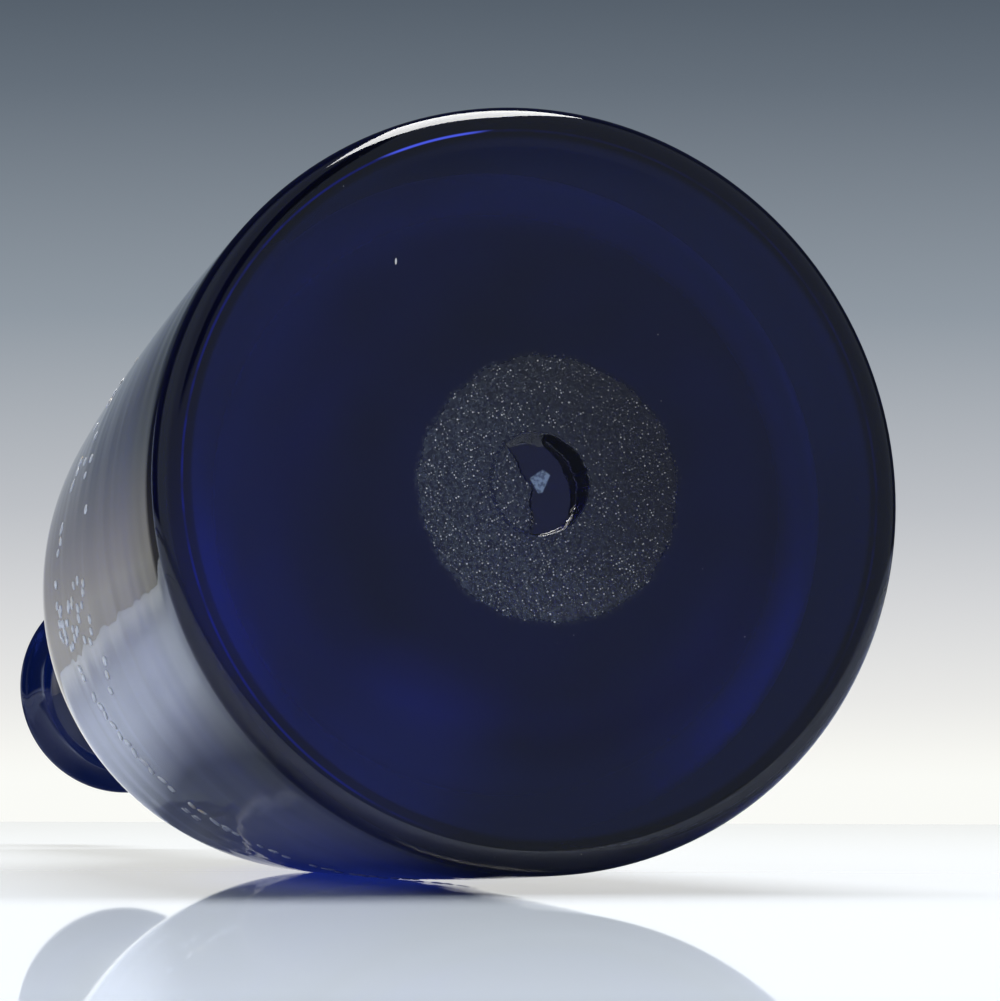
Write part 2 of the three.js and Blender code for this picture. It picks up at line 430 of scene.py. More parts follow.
photo_camera()
DEPTH_AXIS = (CAMERA_AHEAD - TABLE_UP * CAMERA_AHEAD.dot(TABLE_UP)).normalized()
SIDE_AXIS = DEPTH_AXIS.cross(TABLE_UP)


def stage_point(side, depth, height):
    """A place on the stage: across the picture, away from the camera, and above the table."""
    return TOUCH_PLACE + SIDE_AXIS * side + DEPTH_AXIS * depth + TABLE_UP * height


def stage_quad(name, corners, material):
    mesh = bpy.data.meshes.new(name)
    mesh.from_pydata([tuple(stage_point(*c) * MM) for c in corners], [], [range(4)])
    mesh.materials.append(material)
    obj = linked(name, mesh)
    return obj


# Backdrop: white at the table and grey-blue higher up, as heights above the table in millimetres
BACKDROP_DEPTH = 1015.0
BACKDROP_STOPS = (
    (-20, (0.96, 0.967, 0.93)),
    (7, (0.96, 0.967, 0.93)),
    (15, (0.93, 0.932, 0.895)),
    (34, (0.82, 0.82, 0.805)),
    (67, (0.67, 0.678, 0.692)),
    (101, (0.51, 0.53, 0.563)),
    (170, (0.278, 0.318, 0.364)),
    (251, (0.13, 0.159, 0.195)),
    (282, (0.093, 0.117, 0.148)),
    (420, (0.07, 0.085, 0.1)),
)


def backdrop_material():
    material, n = new_material("backdrop_paper")
    place = n.add("ShaderNodeTexCoord").outputs["Object"]
    height = n.maths("MULTIPLY_ADD", n.dot(place, TABLE_UP), 1 / MM, -TABLE_LEVEL)
    low = BACKDROP_STOPS[0][0]
    high = BACKDROP_STOPS[-1][0]
    share = n.ramp(height, low, high, smooth=False)
    stops = [((h - low) / (high - low), colour) for h, colour in BACKDROP_STOPS]
    side = n.times(n.dot(place, SIDE_AXIS), 1 / MM)
    dim = n.times(n.ramp(side, -390, -200, 0.6, 1.0), n.ramp(side, 400, 230, 0.12, 1.0))
    dim = n.times(dim, n.ramp(side, -650, -500, 0.15, 1.0))
    colour = n.scaled(n.colours(share, stops), dim)
    glow = n.add("ShaderNodeEmission", inputs={"Color": colour, "Strength": 1.0})
    clear_where(n, n.add("ShaderNodeNewGeometry").outputs["Backfacing"], glow.outputs[0])
    return material


# Table: the paper's colour at a low angle, and as the glass sees it from above, painted bluer with blue light
TABLE_PAPER_AND_BLUE_LIGHT = ((0.79, 0.85, 0.92, 1), (0.74, 0.82, 1.0, 1))
# Depths between which the table falls into shade, nearer the camera than the picture shows
TABLE_SHADE = (-520.0, -300.0)
# Blue light thrown where the glass touches the table: half width and half depth, and colour
THROWN_REACH = (22.0, 90.0)
THROWN_BLUE = (0.004, 0.009, 0.075, 1)
MIRROR_SHARE = 0.84
CARD_WHITE = (0.72, 0.82, 1.0, 1)


def table_material():
    """Pale paper under a clear gloss, which mirrors more and shows less of the paper at a low angle."""
    material, n = new_material("table_gloss")
    place = n.scaled(n.add("ShaderNodeTexCoord").outputs["Object"], 1 / MM)
    place = n.vector("SUBTRACT", place, tuple(TOUCH_PLACE))
    side = n.dot(place, SIDE_AXIS)
    depth = n.dot(place, DEPTH_AXIS)
    facing = n.add("ShaderNodeLayerWeight", inputs={"Blend": 0.5}).outputs["Facing"]
    camera_ray = n.add("ShaderNodeLightPath").outputs["Is Camera Ray"]
    # Mirrored in the glass, the table behind the decanter is in its shade, most of all seen steeply
    far = n.times(n.ramp(facing, 0.94, 0.9), n.ramp(depth, 80.0, 260.0, 0.0, 0.4))
    steep = n.times(n.maths("SUBTRACT", 1.0, facing), depth)
    low = n.times(n.ramp(steep, 22.0, 28.0), n.ramp(depth, 130.0, 160.0, 0.0, 0.85))
    low = n.maths("MAXIMUM", low, n.ramp(steep, 22.0, 36.0, 0.0, 0.4))
    lit = n.maths("SUBTRACT", 1.0, n.maths("MAXIMUM", far, low))
    lit = n.maths("MAXIMUM", lit, camera_ray)
    fresnel = n.add("ShaderNodeFresnel", inputs={"IOR": 1.5}).outputs[0]
    mirror = n.times(fresnel, MIRROR_SHARE)
    mirror = n.times(mirror, lit)
    gloss = n.add("ShaderNodeBsdfGlossy", inputs={"Roughness": 0.02})
    n.feed(gloss.inputs["Color"], n.blend(mirror, (0, 0, 0, 1), (1, 1, 1, 1)))
    # Seen steeply, the paper is painted bluer with blue light
    colour = n.blend(n.ramp(facing, 0.94, 0.9), *TABLE_PAPER_AND_BLUE_LIGHT)
    seen = n.ramp(facing, 0.985, 0.947, 0.15, 0.62, smooth=False)
    seen = n.times(seen, n.times(n.ramp(depth, *TABLE_SHADE, 0.15, 1.0), lit))
    paper = n.add("ShaderNodeBsdfDiffuse")
    n.feed(paper.inputs["Color"], n.blend(seen, (0, 0, 0, 1), colour))
    surface = n.add("ShaderNodeAddShader", inputs={0: paper.outputs[0], 1: gloss.outputs[0]}).outputs[0]
    across = n.maths("DIVIDE", side, THROWN_REACH[0])
    along = n.maths("DIVIDE", depth, THROWN_REACH[1])
    away = n.maths("ADD", n.times(across, across), n.times(along, along))
    thrown = n.add("ShaderNodeEmission", inputs={"Color": THROWN_BLUE, "Strength": 1.0})
    n.feed(thrown.inputs["Strength"], n.ramp(away, 1.0, 0.0))
    surface = n.add("ShaderNodeAddShader", inputs={0: surface, 1: thrown.outputs[0]}).outputs[0]
    clear_where(n, n.add("ShaderNodeNewGeometry").outputs["Backfacing"], surface)
    return material


def bounce_material():
    """A white card lying beside the decanter, out of the picture, that lights its left side."""
    material, n = new_material("bounce_card")
    glow = n.add("ShaderNodeEmission", inputs={"Color": CARD_WHITE, "Strength": 1.0})
    path = n.add("ShaderNodeLightPath").outputs
    clear_where(n, n.maths("MAXIMUM", path["Is Camera Ray"], path["Is Diffuse Ray"]), glow.outputs[0])
    return material


# The room as the glass mirrors it, and the plain background round the table
ROOM_LEFT = (0.38, 0.45, 0.56, 1)
ROOM_RIGHT = (0.26, 0.3, 0.36, 1)
ROOM_AHEAD = (0.035, 0.042, 0.05, 1)
ROOM_POST = (0.03, 0.035, 0.04, 1)
ROOM_WINDOW = (0.5, 0.6, 0.85, 1)
FLOOR_BEHIND = (0.2, 0.235, 0.29, 1)
FLOOR_BESIDE = (0.52, 0.6, 0.8, 1)
PLAIN_BACKGROUND = (0.86, 0.87, 0.88, 1)


def studio_world():
    """A dim studio with a pale window low on the left and a dark post behind the camera."""
    world = bpy.data.worlds.new("studio")
    bpy.context.scene.world = world
    world.use_nodes = True
    n = Nodes(world.node_tree)
    way = n.add("ShaderNodeTexCoord").outputs["Generated"]
    ahead = n.dot(way, DEPTH_AXIS)
    right = n.dot(way, SIDE_AXIS)
    height = n.dot(way, TABLE_UP)
    left = n.times(right, -1.0)
    behind = n.maths("MAXIMUM", n.times(ahead, -1.0), 0.02)
    room = n.blend(n.ramp(left, 0.1, 0.4), ROOM_RIGHT, ROOM_LEFT)
    forward = n.maths("MULTIPLY_ADD", left, 0.46, ahead)
    room = n.blend(n.ramp(forward, -0.2, 0.05), room, ROOM_AHEAD)
    post = n.maths("ABSOLUTE", n.maths("SUBTRACT", n.maths("DIVIDE", right, behind), 0.2))
    post = n.times(n.ramp(post, 0.16, 0.11), n.ramp(height, 0.28, 0.34))
    room = n.blend(post, room, ROOM_POST)
    window = n.times(n.ramp(left, 0.55, 0.85), n.ramp(height, 0.27, 0.15))
    window = n.times(window, n.ramp(ahead, 0.38, 0.5))
    room = n.blend(window, room, ROOM_WINDOW)
    floor = n.blend(n.ramp(ahead, -0.7, -0.4), FLOOR_BEHIND, FLOOR_BESIDE)
    room = n.blend(n.ramp(height, 0.02, -0.02), room, floor)
    seen = n.add("ShaderNodeLightPath").outputs["Is Camera Ray"]
    colour = n.blend(seen, room, PLAIN_BACKGROUND)
    sky = n.add("ShaderNodeBackground", inputs={"Color": colour, "Strength": 1.0})
    out = n.add("ShaderNodeOutputWorld")
    n.feed(out.inputs["Surface"], sky.outputs[0])


def soft_lamp(name, place, aim, size, power):
    data = bpy.data.lights.new(name, "AREA")
    data.shape = "RECTANGLE"
    data.size = size[0] * MM
    data.size_y = size[1] * MM
    data.energy = power
    lamp = bpy.data.objects.new(name, data)
    facing = (stage_point(*place) - stage_point(*aim)).normalized()
    across = (SIDE_AXIS - facing * SIDE_AXIS.dot(facing)).normalized()
    turn = Matrix((across, facing.cross(across), facing)).transposed()
    lamp.matrix_world = Matrix.Translation(stage_point(*place) * MM) @ turn.to_4x4()
    bpy.context.scene.collection.objects.link(lamp)
    return lamp


def stage():
    scene = bpy.context.scene
    scene.view_settings.view_transform = "Standard"
    studio_world()
    table = [(-900, -1200, 0), (700, -1200, 0), (700, 408, 0), (-900, 408, 0)]
    stage_quad("table_top", table, table_material())
    d = BACKDROP_DEPTH
    paper = [(-950, d, -160), (950, d, -160), (950, d, 900), (-950, d, 900)]
    stage_quad("backdrop", paper, backdrop_material())
    card = [(-480, -330, 1), (-180, -330, 1), (-180, 100, 1), (-480, 100, 1)]
    stage_quad("bounce_card", card, bounce_material())
    shine = soft_lamp("softbox_shine", (93, -138, 620), (93, -138, 0), (294, 377), 5.2)
    shine.visible_diffuse = False
    shine.visible_transmission = False
    fills = (
        ("softbox_top", (110, 130, 700), (0, -75, 0), (600, 220), 7.3),
        ("softbox_left", (-560, 60, 400), (-60, 0, 0), (320, 320), 0.9),
        ("softbox_right", (560, 60, 400), (60, 0, 0), (320, 320), 0.6),
    )
    for settings in fills:
        fill = soft_lamp(*settings)
        fill.visible_glossy = False
        fill.visible_transmission = False


stage()


# Shared shader effects

def effect(name, sockets, results):
    """An empty shader node group. Returns its nodes and the input node's sockets."""
    tree = bpy.data.node_groups.new(name, "ShaderNodeTree")
    for label, kind in sockets.items():
        tree.interface.new_socket(label, in_out="INPUT", socket_type="NodeSocket" + kind)
    for label, kind in results.items():
        tree.interface.new_socket(label, in_out="OUTPUT", socket_type="NodeSocket" + kind)
    n = Nodes(tree)
    return n, n.add("NodeGroupInput").outputs


def ground_glass():
    """Fine-ground glass: the uneven light of its grain, and the glints of single facets."""
    n, given = effect("ground glass", {"Place": "Vector"}, {"Grain": "Float", "Glints": "Float"})
    grain = n.add("ShaderNodeTexNoise", inputs={"Vector": given["Place"], "Scale": 2.8, "Detail": 1.0})
    facets = n.add("ShaderNodeTexVoronoi", voronoi_dimensions="2D", inputs={
        "Vector": given["Place"], "Scale": 3.2,
    })
    chance = n.add("ShaderNodeSeparateColor", inputs={0: facets.outputs["Color"]})
    reach = n.maths("MULTIPLY_ADD", chance.outputs[1], 0.22, 0.14)
    small = n.ramp(n.maths("SUBTRACT", facets.outputs["Distance"], reach), 0.0, -0.12)
    glints = n.times(small, n.maths("POWER", chance.outputs[0], 5.0))
    grain = n.ramp(grain.outputs["Fac"], 0.3, 0.7)
    n.add("NodeGroupOutput", inputs={"Grain": grain, "Glints": glints})
    return n.tree


def blown_waves():
    """Height of the soft rings that shaping the turning glass leaves, drawn out round the axis."""
    n, given = effect("blown waves", {"Place": "Vector"}, {"Height": "Float"})
    drawn = n.vector("MULTIPLY", given["Place"], (0.2, 0.2, 1))
    rings = n.add("ShaderNodeTexNoise", inputs={
        "Vector": drawn, "Scale": 0.1, "Detail": 1.0, "Roughness": 0.4,
    })
    n.add("NodeGroupOutput", inputs={"Height": rings.outputs["Fac"]})
    return n.tree


def dust():
    """A mask of scattered specks of lint and dust."""
    n, given = effect("dust", {"Place": "Vector", "Share": "Float"}, {"Specks": "Float"})
    cells = n.add("ShaderNodeTexVoronoi", inputs={"Vector": given["Place"], "Scale": 0.5})
    chance = n.add("ShaderNodeSeparateColor", inputs={0: cells.outputs["Color"]})
    size = n.maths("MULTIPLY_ADD", chance.outputs[1], 0.03, 0.008)
    near = n.maths("LESS_THAN", cells.outputs["Distance"], size)
    kept = n.maths("LESS_THAN", chance.outputs[0], given["Share"])
    n.add("NodeGroupOutput", inputs={"Specks": n.times(near, kept)})
    return n.tree


GROUND_GLASS = ground_glass()
BLOWN_WAVES = blown_waves()
DUST = dust()


# Materials

COBALT_TINT = (0.03, 0.05, 0.34, 1)
COBALT_PASSES = (0.2, 0.4, 0.75, 1)
COBALT_DENSITY = 200.0
CLOUDED = 0.35
WAVE_HEIGHT = 0.16
# The base's own dark blue, and a bluer tint painted where light comes through it
BASE_TINTS = ((0.016, 0.03, 0.13, 1), (0.03, 0.06, 0.6, 1))
# The thick glass's own deep tint, also painted as shade on the base's rim and in the scar's hollow
THICK_AND_SHADE_TINT = (0.008, 0.013, 0.1, 1)
SIDE_TINT = (0.05, 0.07, 0.5, 1)
NECK_TINT = (0.01, 0.016, 0.1, 1)
GROUND_TINTS = ((0.01, 0.017, 0.05, 1), (0.1, 0.13, 0.175, 1))
GROUND_GLOW = (0.018, 0.024, 0.03, 1)
GLINT_GLOW = (0.42, 0.45, 0.48, 1)
CHIP_GLOW = (0.11, 0.155, 0.24, 1)
LIP_GLOW = (0.0, 0.0026, 0.022, 1)
SCAR_GLOW = (0.0035, 0.004, 0.0005, 1)
BAND_GLOW = (0.0008, 0.0018, 0.014, 1)
STOPPER_TINTS = ((0.05, 0.08, 0.6, 1), (0.2, 0.26, 0.5, 1))
ENAMEL_TINTS = ((0.74, 0.75, 0.78, 1), (0.7, 0.54, 0.3, 1))
RING_GLOWS = ((0.0, 0.002, 0.1, 1), (0.06, 0.09, 0.75, 1))


def group(n, tree, **inputs):
    return n.add("ShaderNodeGroup", node_tree=tree, inputs=inputs).outputs


def millimetres(n):
    return n.scaled(n.add("ShaderNodeTexCoord").outputs["Object"], 1 / MM)


def soft_noise(n, place, scale):
    noise = n.add("ShaderNodeTexNoise", inputs={"Vector": place, "Scale": scale, "Detail": 1.0})
    return noise.outputs["Fac"]


def glass_output(n, surface):
    """End a glass material: its surface, and the blue that deepens with the glass's thickness."""
    inside = n.add("ShaderNodeVolumeAbsorption", inputs={"Color": COBALT_PASSES, "Density": COBALT_DENSITY})
    n.add("ShaderNodeOutputMaterial", inputs={"Surface": surface.outputs[0], "Volume": inside.outputs[0]})


def cobalt_material():
    material, n = new_material("cobalt_glass")
    inner = n.add("ShaderNodeAttribute", attribute_name="inner").outputs["Fac"]
    marks = n.add("ShaderNodeAttribute", attribute_name="marks").outputs["Vector"]
    ground, scar, chip = n.add("ShaderNodeSeparateXYZ", inputs={0: marks}).outputs
    outer = n.maths("SUBTRACT", 1.0, inner)
    place = millimetres(n)
    height = n.add("ShaderNodeSeparateXYZ", inputs={0: place}).outputs["Z"]
    flat = n.vector("LENGTH", n.vector("MULTIPLY", place, (1, 1, 0)))
    fine = group(n, GROUND_GLASS, Place=place)
    ground = n.ramp(n.maths("MULTIPLY_ADD", fine["Grain"], 0.2, ground), 0.2, 1.15)

    # Tint: mottled, with painted blue light towards the rim and the lower left, deep in the thick heel and
    # the neck
    mottle = soft_noise(n, place, 0.07)
    lean = n.dot(place, MARK_RIGHT * -0.023 - MARK_UP * 0.007)
    blue_light_and_mottle = n.times(n.ramp(flat, 17.0, 30.0), n.ramp(lean, -0.1, 0.8, 0.3, 0.75))
    from_lit_patch = n.vector("LENGTH", n.vector("SUBTRACT", place, tuple(MARK_RIGHT * -15 - MARK_UP * 29)))
    blue_light_and_mottle = n.maths("ADD", blue_light_and_mottle, n.ramp(from_lit_patch, 15.0, 3.0, -0.25, 0.2))
    blue_light_and_mottle = n.maths("MULTIPLY_ADD", mottle, 0.5, blue_light_and_mottle)
    clear = n.blend(n.ramp(blue_light_and_mottle, 0, 1, smooth=False), *BASE_TINTS)
    # Painted shade on the base's rim at the right and lower right
    lower_right = n.dot(place, MARK_RIGHT * 0.7 - MARK_UP * 0.7)
    shade = n.times(n.ramp(flat, 31.0, 35.5), n.ramp(lean, 0.3, -0.3, 0.08, 0.6))
    painted_shade_lower_right = n.times(n.ramp(flat, 22.0, 27.0), n.ramp(lower_right, 14.0, 24.0, 0, 0.85))
    shade = n.maths("MAXIMUM", shade, painted_shade_lower_right)
    clear = n.blend(shade, clear, THICK_AND_SHADE_TINT)
    clear = n.blend(n.ramp(height, 2.0, 6.0), clear, SIDE_TINT)
    clear = n.blend(n.ramp(height, 110.0, 160.0), clear, NECK_TINT)
    # Painted shade in the scar's hollow; the thick heel's deep tint is the glass's own
    deep = n.times(n.ramp(flat, 36.0, 36.4), n.ramp(height, 22.0, 6.0))
    tint = n.blend(n.maths("MAXIMUM", deep, scar), clear, THICK_AND_SHADE_TINT)
    tint = n.blend(inner, tint, COBALT_TINT)
    # Painted light: the ground mark is paler and greyer, and its glow and glints stronger, towards its left
    # and lower side
    from_mark = n.vector("SUBTRACT", place, (*PONTIL_CENTRE, 0))
    lit_side = n.dot(from_mark, MARK_RIGHT * -0.045 - MARK_UP * 0.03)
    greyness = n.ramp(lit_side, -0.8, 0.6)
    tint = n.blend(ground, tint, n.blend(greyness, *GROUND_TINTS))
    specks = n.times(group(n, DUST, Place=place, Share=0.3)["Specks"], outer)
    tint = n.blend(specks, tint, (1, 1, 1, 1))

    # Light that the ring, rim and thin lip gather, the scar's and ground mark's glow, glints and specks
    ring = n.times(n.ramp(flat, 37.02, 37.16), n.ramp(flat, 37.38, 37.24))
    ring = n.times(ring, n.ramp(height, 0.6, 0.3))
    top = n.dot(place, (MARK_UP * 0.954 - MARK_RIGHT * 0.3) / 37.2)
    left = n.dot(place, MARK_RIGHT / -37.2)
    # The ring's painted glow is broken up by wear
    worn = soft_noise(n, place, 0.35)
    faint = n.times(n.ramp(left, 0.0, 0.6, 0.2, 1.0), n.ramp(top, -0.9, -0.6))
    faint = n.times(faint, n.ramp(worn, 0.3, 0.6, 0.4, 1.0))
    right = n.dot(place, MARK_RIGHT)
    band = n.times(n.ramp(flat, 26.0, 31.0), n.ramp(flat, 36.8, 36.2))
    band = n.times(band, n.ramp(right, -14.0, 0.0, 0.5, 1.0))
    band = n.maths("MAXIMUM", band, n.ramp(from_lit_patch, 14.0, 2.0))
    band = n.times(band, n.ramp(height, 5.0, 3.5))
    glow = n.blend(scar, n.blend(band, (0, 0, 0, 1), BAND_GLOW), SCAR_GLOW)
    glow = n.blend(n.times(n.ramp(height, 190.0, 204.0), outer), glow, LIP_GLOW)
    glow = n.blend(n.times(ring, faint), glow, RING_GLOWS[0])
    glow = n.blend(n.times(ring, n.ramp(top, 0.985, 0.996)), glow, RING_GLOWS[1])
    dim = n.times(ground, n.maths("MULTIPLY_ADD", greyness, 0.9, 0.1))
    grain = n.ramp(fine["Grain"], 0.2, 1, 0, 1, smooth=False)
    glow = n.blend(n.times(dim, grain), glow, GROUND_GLOW)
    shine = n.maths("MULTIPLY_ADD", dim, 0.5, n.times(ground, 0.5))
    glints = n.times(fine["Glints"], shine)
    # Dust specks also catch a painted glint
    glints = n.maths("MAXIMUM", glints, n.times(specks, 0.3))
    # A painted glint on one fleck of the base
    from_fleck_glint = n.vector("SUBTRACT", place, (*FLECK_GLINT_PLACE, 0))
    across = n.times(n.dot(from_fleck_glint, MARK_RIGHT), 8.0)
    along = n.times(n.dot(from_fleck_glint, MARK_UP), 2.5)
    fleck_glint = n.maths("ADD", n.times(across, across), n.times(along, along))
    glints = n.maths("MAXIMUM", glints, n.times(n.ramp(fleck_glint, 1.0, 0.4), outer))
    glow = n.blend(glints, glow, GLINT_GLOW)
    # The chip is painted with a pale glow
    glow = n.blend(n.times(chip, n.ramp(fine["Grain"], 0.0, 0.8, 0.4, 1.0)), glow, CHIP_GLOW)

    rough = n.ramp(inner, 0, 1, 0.02, CLOUDED, smooth=False)
    rough = n.maths("MAXIMUM", rough, n.times(n.ramp(ground, 0.2, 1.0), 0.4))
    side = n.times(n.ramp(height, 1.0, 6.0), outer)
    waves = n.times(group(n, BLOWN_WAVES, Place=place)["Height"], side)
    bump = n.add("ShaderNodeBump", inputs={"Strength": 1.0, "Distance": WAVE_HEIGHT * MM, "Height": waves})
    glass = n.add("ShaderNodeBsdfPrincipled", inputs={
        "Base Color": tint, "Roughness": rough, "IOR": 1.52, "Transmission Weight": 0.92,
        "Emission Color": glow, "Emission Strength": 1.0, "Normal": bump.outputs["Normal"],
    })
    glass_output(n, glass)
    return material


def stopper_material():
    """Polished cobalt glass with a fine-ground grey peg."""
    material, n = new_material("stopper_glass")
    place = millimetres(n)
    height = n.add("ShaderNodeSeparateXYZ", inputs={0: place}).outputs["Z"]
    ground = n.ramp(height, BODY_HEIGHT + PEG_STAND_OUT, BODY_HEIGHT + PEG_STAND_OUT - 0.6)
    fine = group(n, GROUND_GLASS, Place=place)
    tint = n.blend(ground, *STOPPER_TINTS)
    greyed = n.times(fine["Grain"], n.times(ground, 0.4))
    tint = n.blend(greyed, tint, GROUND_TINTS[1])
    glass = n.add("ShaderNodeBsdfPrincipled", inputs={
        "Base Color": tint, "Roughness": n.maths("MULTIPLY_ADD", ground, 0.4, 0.02), "IOR": 1.52,
        "Transmission Weight": 0.92,
    })
    glass_output(n, glass)
    return material


# Decanter body

TURN_STEPS = 192
MARK_REACH = 23.0
KICK_RINGS = 22
# Bands of rings round the marks: how far out each goes, and its number of rings
MARK_BANDS = ((6.6, 66), (13.2, 13), (15.2, 16), (MARK_REACH, 11))


def hollow_parts(x, y):
    """Place across and up from the scar's centre, depth inside the hollow's rim, and the wall's width."""
    u = (x - SCAR_CENTRE[0]) * MARK_RIGHT.x + (y - SCAR_CENTRE[1]) * MARK_RIGHT.y
    v = (x - SCAR_CENTRE[0]) * MARK_UP.x + (y - SCAR_CENTRE[1]) * MARK_UP.y
    across = u - HOLLOW_CENTRE[0]
    above = v - HOLLOW_CENTRE[1]
    turn = np.arctan2(above, across)
    ragged = np.exp(-((turn - 0.25) / 0.4)**2)
    rough = np.sin(23 * turn) + np.sin(37 * turn + 2) + np.sin(61 * turn + 1)
    wobble = 0.08 * np.sin(3 * turn + 1) + 0.04 * np.sin(11 * turn) + 0.09 * ragged * rough
    inset = HOLLOW_RADIUS - np.hypot(across, above) + wobble
    facing = np.maximum(np.cos(0.95 * (turn - math.radians(22))), 0)
    wall = 0.2 + 1.9 * facing**1.5 + 0.65 * np.exp(-((turn - 1.9) / 0.5)**2)
    return u, v, inset, wall


def past_break(u, v):
    """Distance to the right of the line along which the rod broke away."""
    return u - HOLLOW_BREAK + 0.62 * np.maximum(v + 0.6, 0) + 0.12 * np.sin(2.1 * v) + 0.05 * np.sin(9 * v)


def hollow_depth(x, y):
    """Depth of the smooth hollow that the broken-off rod left: a tilted floor inside a steep wall."""
    u, v, inset, wall = hollow_parts(x, y)
    past = past_break(u, v)
    floor = HOLLOW_STEP * np.clip(past / 0.35, 0, 1) + HOLLOW_TILT * np.maximum(past, 0)
    share = np.clip(inset / wall, 0, 1)
    trench = np.clip(np.minimum(share / 0.4, (1 - share) / 0.6), 0, 1) * np.clip(wall - 0.5, 0, 1)
    at_right = np.clip(1.4 * u, 0, 1) * np.clip(past / 1.5, 0, 1)
    return floor * share + HOLLOW_TRENCH * trench * at_right


def base_marks(x, y):
    """Shares of ground surface, of painted shade in the scar's hollow and along its broken rim, and of the
    chip, which is painted with a pale glow, at places on the underside.
    """
    across = np.hypot(x - PONTIL_CENTRE[0], y - PONTIL_CENTRE[1])
    turn = np.arctan2(y, x)
    edge = PONTIL_RADIUS + 0.12 * np.sin(5 * turn) + 0.1 * np.sin(17 * turn)
    disc = np.clip((edge - across) / 1.1 + 0.5, 0, 1)
    u, v, inset, wall = hollow_parts(x, y)
    past = past_break(u, v)
    smooth = np.clip(past / 0.2 + 0.5, 0, 1) * np.clip(inset / 0.2 + 1, 0, 1)
    # Painted shade: the smooth hollow is dark, most of all near its wall, and so is the broken rim on its
    # left
    dark = smooth * (0.75 + 0.25 * np.clip((wall - inset) / 0.2, 0, 1))
    around = np.arctan2(v, u)
    broken = np.sin(13 * around + 1) + np.sin(29 * around) + np.sin(53 * around)
    rim = np.clip(1.25 - 3.2 * np.abs(inset), 0, 1) * np.clip(-1 - u, 0, 1)
    rim = rim * np.clip(0.7 + 0.2 * broken, 0, 1) * (1 - smooth)
    dark = np.maximum(dark, 0.8 * rim)
    ground = disc * (1 - smooth) * (1 - 0.7 * rim)
    chip = np.ones(len(x))
    for (a, b), (c, d) in zip(CHIP, CHIP[1:] + CHIP[:1]):
        reach = ((c - a) * (v - b) - (d - b) * (u - a)) / math.hypot(c - a, d - b)
        chip *= np.clip(0.5 - reach / 0.12, 0, 1)
    return np.column_stack((ground, dark, chip))


def base_height(x, y):
    """Height of the underside at a place, with the ground dish and the scar's hollow cut into it."""
    height = kick_height(np.hypot(x, y))
    rim = kick_height(PONTIL_RADIUS + math.hypot(*PONTIL_CENTRE))
    across = np.hypot(x - PONTIL_CENTRE[0], y - PONTIL_CENTRE[1]) / PONTIL_RADIUS
    dish = rim + (PONTIL_DISH + KICK_HEIGHT - rim) * (1 - across**2)
    height = np.where(across < 1, np.maximum(height, dish), height)
    return height + hollow_depth(x, y)


def turning_tree():
    """Turns an outline, given as a row of points with a centre each, about its centres."""
    n, given = geometry_tree("turned glass", {
        "Outline Points": "Int", "Turn Steps": "Int", "Seam Gap": "Float", "Material": "Material",
    })
    columns = n.maths("ADD", given["Turn Steps"], 1)
    grid = n.add("GeometryNodeMeshGrid", inputs={
        "Vertices X": columns, "Vertices Y": given["Outline Points"],
    })
    index = n.add("GeometryNodeInputIndex").outputs[0]
    step = n.maths("FLOOR", n.maths("DIVIDE", n.maths("ADD", index, 0.5), given["Outline Points"]))
    along = n.maths("SUBTRACT", index, n.times(step, given["Outline Points"]))

    def on_outline(kind, value):
        return n.add("GeometryNodeSampleIndex", data_type=kind, inputs={
            "Geometry": given["Geometry"], "Value": value, "Index": along,
        }).outputs[0]

    def named(kind, label):
        return n.add("GeometryNodeInputNamedAttribute", data_type=kind, inputs={"Name": label}).outputs[0]

    place = on_outline("FLOAT_VECTOR", n.add("GeometryNodeInputPosition").outputs[0])
    centre = on_outline("FLOAT_VECTOR", named("FLOAT_VECTOR", "centre"))
    inner = on_outline("FLOAT", named("FLOAT", "inner"))
    angle = n.times(n.maths("DIVIDE", step, given["Turn Steps"]), 2 * math.pi)
    swung = n.add("ShaderNodeVectorRotate", rotation_type="Z_AXIS", inputs={"Vector": place, "Angle": angle})
    target = n.vector("ADD", swung.outputs[0], centre)
    moved = n.add("GeometryNodeSetPosition", inputs={"Geometry": grid.outputs["Mesh"], "Position": target})
    kept = n.add("GeometryNodeStoreNamedAttribute", data_type="FLOAT", inputs={
        "Geometry": moved.outputs[0], "Name": "inner", "Value": inner,
    })
    joined = n.add("GeometryNodeMergeByDistance", inputs={
        "Geometry": kept.outputs[0], "Distance": given["Seam Gap"],
    })
    tree_end(n, joined.outputs[0], given["Material"])
    return n.tree


